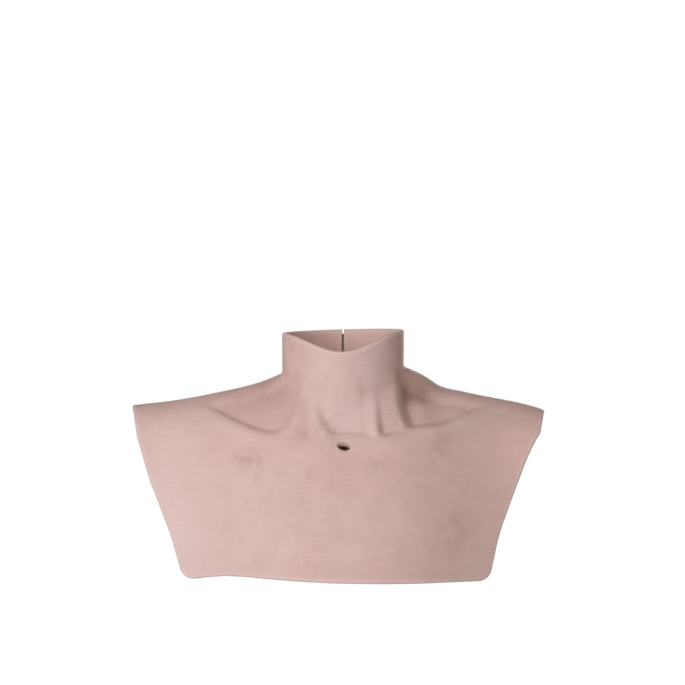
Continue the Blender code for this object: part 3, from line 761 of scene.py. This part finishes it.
def skin_material():
    """Cast silicone: the tints, painted light and shade among them, are mixed in one after the other, then
    the darker patches and painted shade, the painted highlight along the trimmed edge and the painted shade
    in the wall of the stoma. Creases, lumps, streaks and pores are bumps, one on top of the other."""
    material, tree, shader, add = node_material("skin_silicone", SKIN_ROUGHNESS, SKIN_SPECULAR)
    place = add("ShaderNodeTexCoord").outputs["Object"]
    across = add("ShaderNodeSeparateXYZ", Vector=place)
    sources = {"X": across.outputs["X"], "Z": across.outputs["Z"]}
    for name, (scale, detail, roughness) in SKIN_NOISES.items():
        noise = add("ShaderNodeTexNoise", Vector=place, Scale=scale, Detail=detail, Roughness=roughness)
        sources[name] = noise.outputs["Fac"]
    stretched = add("ShaderNodeMapping", Vector=place, Scale=STREAK_SCALE).outputs[0]
    sources["streaks"] = add("ShaderNodeTexNoise", Vector=stretched, Scale=1.0, Detail=3.0).outputs["Fac"]
    for name in ("hollow", "corner", "to_edge"):
        sources[name] = add("ShaderNodeAttribute", {"attribute_name": name}).outputs["Fac"]

    def distance(first, second):
        return add("ShaderNodeVectorMath", {"operation": "DISTANCE"}, i0=first, i1=second).outputs["Value"]

    def tinted(colour, tint, share, *fades):
        for source, low, high in fades:
            passed = add("ShaderNodeMapRange", i0=source, i1=low, i2=high).outputs[0]
            share = add("ShaderNodeMath", {"operation": "MULTIPLY"}, i0=passed, i1=share).outputs[0]
        return add("ShaderNodeMix", {"data_type": "RGBA"}, i0=share, i6=colour, i7=tint).outputs[2]

    colour = SKIN_LIGHT
    for tint, share, *fades in SKIN_TINTS:
        colour = tinted(colour, tint, share, *((sources[name], low, high) for name, low, high in fades))
    flat_place = add("ShaderNodeVectorMath", {"operation": "MULTIPLY"}, i0=place, i1=(1, 0, 1)).outputs[0]
    uneven = (sources["patches"], *PATCH_AND_SHADE_UNEVENNESS)
    # Darker patches on the chest, and painted shade on the neck, in the notch and in the hollows.
    for x, height, reach, share in DARK_PATCHES_AND_SHADE:
        away = distance(flat_place, (x, 0, height))
        colour = tinted(colour, SKIN_DARK_PATCH_AND_SHADE, share, (away, reach, 0.0), uneven)
    # Painted highlight along the trimmed edge.
    colour = tinted(colour, SKIN_PALE_AND_HIGHLIGHT, EDGE_HIGHLIGHT_SHARE, (sources["to_edge"], *EDGE_HIGHLIGHT_REACH))
    # Painted shade in the stoma's wall.
    centre, _, up, inward = stoma_frame()
    in_hole = distance(place, centre + (inward - up * math.tan(STOMA_SLANT)) * STOMA_SHADE_DEPTH)
    colour = tinted(colour, SKIN_DARK_PATCH_AND_SHADE, STOMA_SHADE_SHARE, (in_hole, *STOMA_SHADE_REACH))
    fill(tree, shader.inputs["Base Color"], colour)

    lumps = add("ShaderNodeTexNoise", Vector=place, Scale=LUMP_SCALE, Detail=3.0).outputs["Fac"]
    pores = add("ShaderNodeTexVoronoi", Vector=place, Scale=PORE_SCALE).outputs["Distance"]
    heights = (
        (creases(add, across), CREASE_BUMP),
        (lumps, LUMP_BUMP),
        (sources["streaks"], STREAK_BUMP),
        (pores, PORE_BUMP),
    )
    below = {}
    for height, (strength, depth) in heights:
        bump = add("ShaderNodeBump", Strength=strength, Distance=depth, Height=height, **below)
        below = {"Normal": bump.outputs[0]}
    fill(tree, shader.inputs["Normal"], bump.outputs[0])
    rough = add(
        "ShaderNodeMapRange",
        i0=sources["patches"],
        i1=ROUGHNESS_PATCHES[0],
        i2=ROUGHNESS_PATCHES[1],
        i3=ROUGHNESS_ENDS[0],
        i4=ROUGHNESS_ENDS[1],
    )
    fill(tree, shader.inputs["Roughness"], rough.outputs[0])
    return material


skin_points, skin_places = skin_grid()
skin_faces = rounded_shell(skin_points, skin_places["to_edge"])
skin_mesh = shell_mesh("collar_skin_cast", *skin_faces, **skin_places)
skin_piece = piece("collar_skin_cast", skin_mesh, skin_material())
cut_stoma(skin_piece)
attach(skin_piece, "root")
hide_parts("collar_skin")


# The trachea sleeve: a soft silicone tube bonded behind the stoma. It runs straight in, bends and hangs down,
# so that a tracheostomy tube lies in it as in an airway. Its lower end is open and rolled.
SLEEVE_BORE = 0.0140
SLEEVE_WALL = 0.0025
SLEEVE_LEAD = 0.005
SLEEVE_BEND_RADIUS = 0.014
SLEEVE_DROP = 0.038
SLEEVE_ROWS = 90
SLEEVE_CURL_STEPS = 8
SLEEVE_POINTS_ROUND = 56
MOUTH_POINTS = 28
SEAT_GAP = 0.0003
SLEEVE_COLOUR = (0.50, 0.30, 0.26, 1)
SLEEVE_DEEP = (0.40, 0.21, 0.18, 1)
SLEEVE_ROUGHNESS = 0.42
SLEEVE_SPECULAR = 0.4
SLEEVE_CLOUD_SCALE = 120.0
SLEEVE_BUMP = (0.2, 0.0003)


def sleeve_section(total):
    """The sleeve's section as distances along and out from its centre line: out along the outer wall, round
    the rolled end, back along the bore and round the mouth."""
    end_round = SLEEVE_WALL / 2
    bore = SLEEVE_BORE / 2
    along = np.linspace(end_round, total - end_round, SLEEVE_ROWS)
    curl = np.linspace(0, math.pi, SLEEVE_CURL_STEPS + 1)[1:-1]
    bulge = end_round * np.sin(curl)
    out = end_round * np.cos(curl)
    distance = np.concatenate([along, total - end_round + bulge, along[::-1], end_round - bulge])
    middle = bore + end_round
    radius = np.concatenate([0 * along + bore + SLEEVE_WALL, middle + out, 0 * along + bore, middle - out])
    return distance, radius


def sleeve_grid():
    """The sleeve's whole surface: its section carried round the centre line, which starts behind the stoma
    and is straight, an arc and straight."""
    centre, across, up, inward = (np.array(v) for v in stoma_frame())
    centre = centre - up * WALL * math.tan(STOMA_SLANT)
    mouth = np.linspace(0, 2 * math.pi, MOUTH_POINTS, endpoint=False)
    mouth_radius = SLEEVE_BORE / 2 + SLEEVE_WALL
    x = centre[0] + mouth_radius * np.cos(mouth)
    z = centre[2] + mouth_radius * np.sin(mouth)
    hollow = float(((body(x, along_skin(x, z)) - centre) @ inward).max())
    start = centre + inward * (WALL + hollow + SEAT_GAP)
    bend = math.acos(-inward[2])
    arc = SLEEVE_BEND_RADIUS * bend
    distance, radius = sleeve_section(SLEEVE_LEAD + arc + SLEEVE_DROP)
    swing = np.clip((distance - SLEEVE_LEAD) / SLEEVE_BEND_RADIUS, 0, bend)
    lead = np.minimum(distance, SLEEVE_LEAD)
    fall = np.maximum(distance - SLEEVE_LEAD - arc, 0)
    normal = up * np.cos(swing)[:, None] + inward * np.sin(swing)[:, None]
    tangent = inward * np.cos(swing)[:, None] - up * np.sin(swing)[:, None]
    hub = start + inward * SLEEVE_LEAD - up * SLEEVE_BEND_RADIUS
    straight = inward * (lead - SLEEVE_LEAD)[:, None] + tangent * fall[:, None]
    path = hub + normal * SLEEVE_BEND_RADIUS + straight
    turn = np.linspace(0, 2 * math.pi, SLEEVE_POINTS_ROUND, endpoint=False)
    spoke = np.cos(turn)[None, :, None] * normal[:, None] + np.sin(turn)[None, :, None] * across
    return path[:, None] + spoke * radius[:, None, None]


def ring_mesh(name, grid):
    """A closed surface through a grid of points that joins up both round its rows and round its columns."""
    corner = point_numbers(*grid.shape[:2])
    return closed_mesh(name, grid.reshape(-1, 3), tube_quads(np.concatenate([corner, corner[:1]])))


def two_tone_material(name, tones, noise, bump, roughness, specular):
    """A material whose colour goes between two tones with a noise, which also lifts its face a little."""
    material, tree, shader, add = node_material(name, roughness, specular)
    place = add("ShaderNodeTexCoord").outputs["Object"]
    fibre = add("ShaderNodeTexNoise", Vector=place, **noise).outputs["Fac"]
    mix = add("ShaderNodeMix", {"data_type": "RGBA"}, i0=fibre, i6=tones[0], i7=tones[1])
    fill(tree, shader.inputs["Base Color"], mix.outputs[2])
    strength, height = bump
    lifted = add("ShaderNodeBump", Strength=strength, Distance=height, Height=fibre)
    fill(tree, shader.inputs["Normal"], lifted.outputs[0])
    return material, shader


sleeve_material, _ = two_tone_material(
    "sleeve_silicone",
    (SLEEVE_COLOUR, SLEEVE_DEEP),
    {"Scale": SLEEVE_CLOUD_SCALE, "Detail": 4.0},
    SLEEVE_BUMP,
    SLEEVE_ROUGHNESS,
    SLEEVE_SPECULAR,
)
sleeve_piece = piece("trachea_sleeve_tube", ring_mesh("trachea_sleeve_tube", sleeve_grid()), sleeve_material)
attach(sleeve_piece, "root")
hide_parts("trachea_sleeve")


# The closing tapes: two woven straps across the split at the nape. Each is bonded to the skin on the left,
# has a hook pad sewn under its free end, and is pressed on a brushed loop patch bonded on the right.
TAPE_WIDTH = 0.020
STRAP_THICKNESS = 0.0014
PAD_THICKNESS = 0.0012
STRAP_BONDED_REACH = 0.034
STRAP_FREE_REACH = 0.044
PAD_INNER_REACH = 0.014
PATCH_OVERHANG = 0.006
RAMP_LENGTH = 0.008
NAPE_TAPE_BELOW_RIM = 0.0045
BACK_TAPE_DISTANCE = 0.104
TAPE_STEP = 0.0004
SELVEDGE_SHARE = 0.45
WEAVE_PITCH = 0.0011
WEAVE_HEIGHT = 0.00012
# Waves of the brushed loops: how fast each turns across and up the tape, and where it starts.
BRUSHED_WAVES = ((4100, 2300, 0.0), (-2900, 3700, 1.3), (5300, -900, 0.4))
SEAM_INSET = 0.0025
SEAM_FROM_PAD_EDGE = 0.002
STITCH_LENGTH = 0.0026
STITCH_GAP = 0.0009
STITCH_ROWS = 7
THREAD_RADIUS = 0.00026
THREAD_SIDES = 6
THREAD_TAPER = 0.8
THREAD_LIFT = 0.00022
THREAD_DIP = 0.00045
THREAD_STEP = 0.0002
WEBBING_COLOUR = (0.62, 0.47, 0.38, 1)
WEBBING_DEEP = (0.46, 0.33, 0.26, 1)
HOOK_COLOUR = (0.48, 0.35, 0.28, 1)
LOOP_COLOUR = (0.60, 0.45, 0.37, 1)
LOOP_DEEP = (0.50, 0.36, 0.29, 1)
TAPE_ROUGHNESS = 0.88
TAPE_SPECULAR = 0.25
TAPE_SHEEN = 0.2
TAPE_BUMP = (0.5, 0.0002)
# How fine each tape's grain is.
WEBBING_GRAIN = 900.0
HOOK_GRAIN = 1500.0
LOOP_GRAIN = 700.0


def on_nape(x, rise):
    """Point of the neck sleeve's back, at x along it from the split and a height above the tape's middle."""
    middle = float(rim_height(math.pi)) - NAPE_TAPE_BELOW_RIM - TAPE_WIDTH / 2
    return neck(math.pi - x / NECK_BACK_DEPTH, middle + rise)


def on_back(x, rise):
    """Point of the back panel, at x across and a distance above the tape's middle."""
    return body(x, rise - BACK_TAPE_DISTANCE)


def from_each_edge(count):
    """How many steps each of a row of points lies from the nearer end."""
    return np.minimum(np.arange(count), np.arange(count)[::-1])


def tape_piece(name, surface, start, end, lift, thickness, texture, material):
    """A closed flat tape from start to end along a surface: its inner face lies lift(x, rise) above it, and
    its outer face a thickness and a woven or brushed height higher. Near the edge the thickness falls off as
    a quarter circle, which rounds the selvedge."""
    columns = round((end - start) / TAPE_STEP) + 1
    rows = round(TAPE_WIDTH / TAPE_STEP) + 1
    across = np.linspace(start, end, columns)[None, :]
    x, rise = np.broadcast_arrays(across, np.linspace(TAPE_WIDTH / 2, -TAPE_WIDTH / 2, rows)[:, None])
    face = surface(x, rise)
    normal = outward(face)
    normal = normal * np.sign(normal[..., 1:2])
    to_edge = np.minimum(from_each_edge(rows)[:, None], from_each_edge(columns)[None, :]) * TAPE_STEP
    inset = np.clip(to_edge / (thickness / 2), 0, 1)
    full = SELVEDGE_SHARE + (1 - SELVEDGE_SHARE) * np.sqrt(1 - (1 - inset) ** 2)
    low = lift(x, rise)
    high = low + thickness * full + texture(x, rise) * inset
    mesh = shell_mesh(name, face + normal * high[..., None], face + normal * low[..., None])
    return piece(name, mesh, material)


def weave(x, rise):
    """Height of a plain weave: two crossed waves, one half a pitch behind the other."""
    return WEAVE_HEIGHT * np.cos(math.pi * x / WEAVE_PITCH) * np.cos(math.pi * rise / WEAVE_PITCH)


def brushed(x, rise):
    """Height of brushed loops: three waves in different directions, added."""
    waves = [np.sin(across * x + up * rise + shift) for across, up, shift in BRUSHED_WAVES]
    return WEAVE_HEIGHT * sum(waves) / len(waves)


def tape_material(name, light, deep, scale):
    """Dyed nylon: two tones of one colour in a fine noise, matt, with a cloth sheen."""
    noise = {"Scale": scale, "Detail": 4.0, "Roughness": 0.7}
    material, shader = two_tone_material(name, (light, deep), noise, TAPE_BUMP, TAPE_ROUGHNESS, TAPE_SPECULAR)
    shader.inputs["Sheen Weight"].default_value = TAPE_SHEEN
    return material


def seam_line(start, end):
    """Middles and directions of the stitches round a rectangle from start to end, evenly along each side."""
    half = TAPE_WIDTH / 2 - SEAM_INSET
    corners = np.array([(start, -half), (end, -half), (end, half), (start, half)])
    middles, directions = [], []
    for corner, run in zip(corners, np.roll(corners, -1, axis=0) - corners):
        length = np.linalg.norm(run)
        count = int(length / (STITCH_LENGTH + STITCH_GAP))
        middles.append(corner + run * ((np.arange(count) + 0.5) / count)[:, None])
        directions.append(np.tile(run / length, (count, 1)))
    return np.concatenate(middles), np.concatenate(directions)


def seam_piece(name, surface, start, end, lift, material):
    """The seam that holds the hook pad: short threads in a rectangle near the strap's free end, each a round
    thread that dips into the webbing at both ends."""
    middles, directions = seam_line(start, end)
    t = np.linspace(-1, 1, STITCH_ROWS)
    along = middles[:, None] + directions[:, None] * (t * STITCH_LENGTH / 2)[None, :, None]
    x, rise = along[..., 0], along[..., 1]
    face = surface(x, rise)
    normal = unit(np.cross(surface(x + THREAD_STEP, rise) - face, surface(x, rise + THREAD_STEP) - face))
    normal = normal * np.sign(normal[..., 1:2])
    path = face + normal * (lift + THREAD_LIFT - THREAD_DIP * t**4)[None, :, None]
    side = np.cross(unit(np.gradient(path, axis=1)), normal)
    turn = np.linspace(0, 2 * math.pi, THREAD_SIDES, endpoint=False)
    radius = THREAD_RADIUS * np.sqrt(1 - THREAD_TAPER * t**2)
    ring = np.cos(turn)[:, None] * side[:, :, None] + np.sin(turn)[:, None] * normal[:, :, None]
    points = path[:, :, None] + ring * radius[None, :, None, None]
    corner = point_numbers(STITCH_ROWS, THREAD_SIDES)
    faces = []
    for first in range(0, len(points) * corner.size, corner.size):
        faces += capped_tube(corner + first)
    return piece(name, closed_mesh(name, points.reshape(-1, 3), faces), material)


webbing = tape_material("webbing", WEBBING_COLOUR, WEBBING_DEEP, WEBBING_GRAIN)
hook_tape = tape_material("hook_tape", HOOK_COLOUR, WEBBING_DEEP, HOOK_GRAIN)
loop_tape = tape_material("loop_tape", LOOP_COLOUR, LOOP_DEEP, LOOP_GRAIN)
patch_lift = SEAT_GAP
pad_lift = patch_lift + PAD_THICKNESS + SEAT_GAP
strap_lift = pad_lift + PAD_THICKNESS + SEAT_GAP
ramp_end = PAD_INNER_REACH - PATCH_OVERHANG
for prefix, surface in (("nape", on_nape), ("back", on_back)):
    strap = tape_piece(
        prefix + "_strap_webbing",
        surface,
        -STRAP_BONDED_REACH,
        STRAP_FREE_REACH,
        lambda x, rise: SEAT_GAP + (strap_lift - SEAT_GAP) * smooth_step(x, ramp_end - RAMP_LENGTH, ramp_end),
        STRAP_THICKNESS,
        weave,
        webbing,
    )
    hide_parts(prefix + "_strap")
    pad = tape_piece(
        prefix + "_hook_pad_tape",
        surface,
        PAD_INNER_REACH,
        STRAP_FREE_REACH,
        lambda x, rise: pad_lift + 0 * x,
        PAD_THICKNESS - WEAVE_HEIGHT,
        brushed,
        hook_tape,
    )
    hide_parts(prefix + "_hook_pad")
    patch = tape_piece(
        prefix + "_loop_patch_tape",
        surface,
        ramp_end,
        STRAP_FREE_REACH + PATCH_OVERHANG,
        lambda x, rise: patch_lift + 0 * x,
        PAD_THICKNESS,
        brushed,
        loop_tape,
    )
    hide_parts(prefix + "_loop_patch")
    seam = seam_piece(
        prefix + "_strap_seam",
        surface,
        PAD_INNER_REACH + SEAM_FROM_PAD_EDGE,
        STRAP_FREE_REACH - SEAM_INSET,
        strap_lift + STRAP_THICKNESS,
        webbing,
    )
    for made in (strap, pad, patch, seam):
        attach(made, "root")


# The studio: a white surround that is brighter in front and below, a wide soft key light from the front left,
# a weak fill, and a light behind for the back panel. The floor lies well below, because the collar is held up
# by the neck and shoulders that it is made for, and it can be looked through from its underside.
FLOOR_HEIGHT = -0.62
FLOOR_REACH = 8.0
FLOOR_COLOUR = (0.86, 0.86, 0.86, 1)
FLOOR_ROUGHNESS = 0.9
FLOOR_SPECULAR = 0.1
FLOOR_GLOW = 0.85
WHITE = (1, 1, 1, 1)
SURROUND_LIGHT = 0.27
SURROUND_BRIGHT_SIDE = (-0.10, -0.86, -0.50)
SURROUND_FRONT = 1.5
SURROUND_BEHIND = 0.4
SURROUND_COLOUR = (1.0, 0.93, 0.87, 1)
AIM = (0.0, 0.0, -0.08)
# Each light: place, size, power and colour.
LIGHTS = {
    "key": ((-0.80, -1.72, 0.30), 0.9, 20.5, (0.98, 1.0, 1.02)),
    "fill": ((1.2, -2.2, 0.5), 1.6, 2.0, (1.0, 0.96, 0.92)),
    "back": ((0.5, 2.2, 0.05), 1.4, 22.0, (1.0, 0.98, 0.96)),
}

floor_sides = ((-1, -1), (1, -1), (1, 1), (-1, 1))
floor_corners = [(x * FLOOR_REACH, y * FLOOR_REACH, FLOOR_HEIGHT) for x, y in floor_sides]
floor_mesh = bpy.data.meshes.new("floor")
floor_mesh.from_pydata(floor_corners, [], [(0, 1, 2, 3)])
floor_material, floor_tree, floor_shader, add = node_material("floor", FLOOR_ROUGHNESS, FLOOR_SPECULAR)
floor_shader.inputs["Base Color"].default_value = FLOOR_COLOUR
floor_shader.inputs["Emission Color"].default_value = WHITE
seen = add("ShaderNodeLightPath").outputs["Is Camera Ray"]
glow = add("ShaderNodeMath", {"operation": "MULTIPLY"}, i0=seen, i1=FLOOR_GLOW)
fill(floor_tree, floor_shader.inputs["Emission Strength"], glow.outputs[0])
underside = add("ShaderNodeNewGeometry").outputs["Backfacing"]
clear = add("ShaderNodeBsdfTransparent").outputs[0]
sides = add("ShaderNodeMixShader", i0=underside, i1=floor_shader.outputs[0], i2=clear)
fill(floor_tree, floor_tree.nodes["Material Output"].inputs["Surface"], sides.outputs[0])
floor_piece = piece("floor", floor_mesh, floor_material)

surround = bpy.data.worlds.new("surround")
surround.use_nodes = True
background = surround.node_tree.nodes["Background"]
add = node_adder(surround.node_tree)
rays = add("ShaderNodeLightPath").outputs
seen_plain = rays["Is Camera Ray"]
for ray in ("Is Glossy Ray", "Is Transmission Ray"):
    seen_plain = add("ShaderNodeMath", {"operation": "MAXIMUM"}, i0=seen_plain, i1=rays[ray]).outputs[0]
direction = add("ShaderNodeTexCoord").outputs["Generated"]
facing = add("ShaderNodeVectorMath", {"operation": "DOT_PRODUCT"}, i0=direction, i1=SURROUND_BRIGHT_SIDE)
light = add(
    "ShaderNodeMapRange",
    i0=facing.outputs["Value"],
    i1=-1.0,
    i3=SURROUND_LIGHT * SURROUND_BEHIND,
    i4=SURROUND_LIGHT * SURROUND_FRONT,
)
strength = add("ShaderNodeMapRange", i0=seen_plain, i3=light.outputs[0], i4=1.0)
tone = add("ShaderNodeMix", {"data_type": "RGBA"}, i0=seen_plain, i6=SURROUND_COLOUR, i7=WHITE)
fill(surround.node_tree, background.inputs["Strength"], strength.outputs[0])
fill(surround.node_tree, background.inputs["Color"], tone.outputs[2])
bpy.context.scene.world = surround

for name, (place, size, power, colour) in LIGHTS.items():
    lamp = bpy.data.lights.new(name, "AREA")
    lamp.shape = "SQUARE"
    lamp.size = size
    lamp.energy = power
    lamp.color = colour
    made = bpy.data.objects.new(name, lamp)
    made.location = place
    made.rotation_euler = (Vector(AIM) - Vector(place)).to_track_quat("-Z", "Y").to_euler()
    made.visible_camera = False
    bpy.context.scene.collection.objects.link(made)
bpy.context.scene.view_settings.view_transform = "Standard"
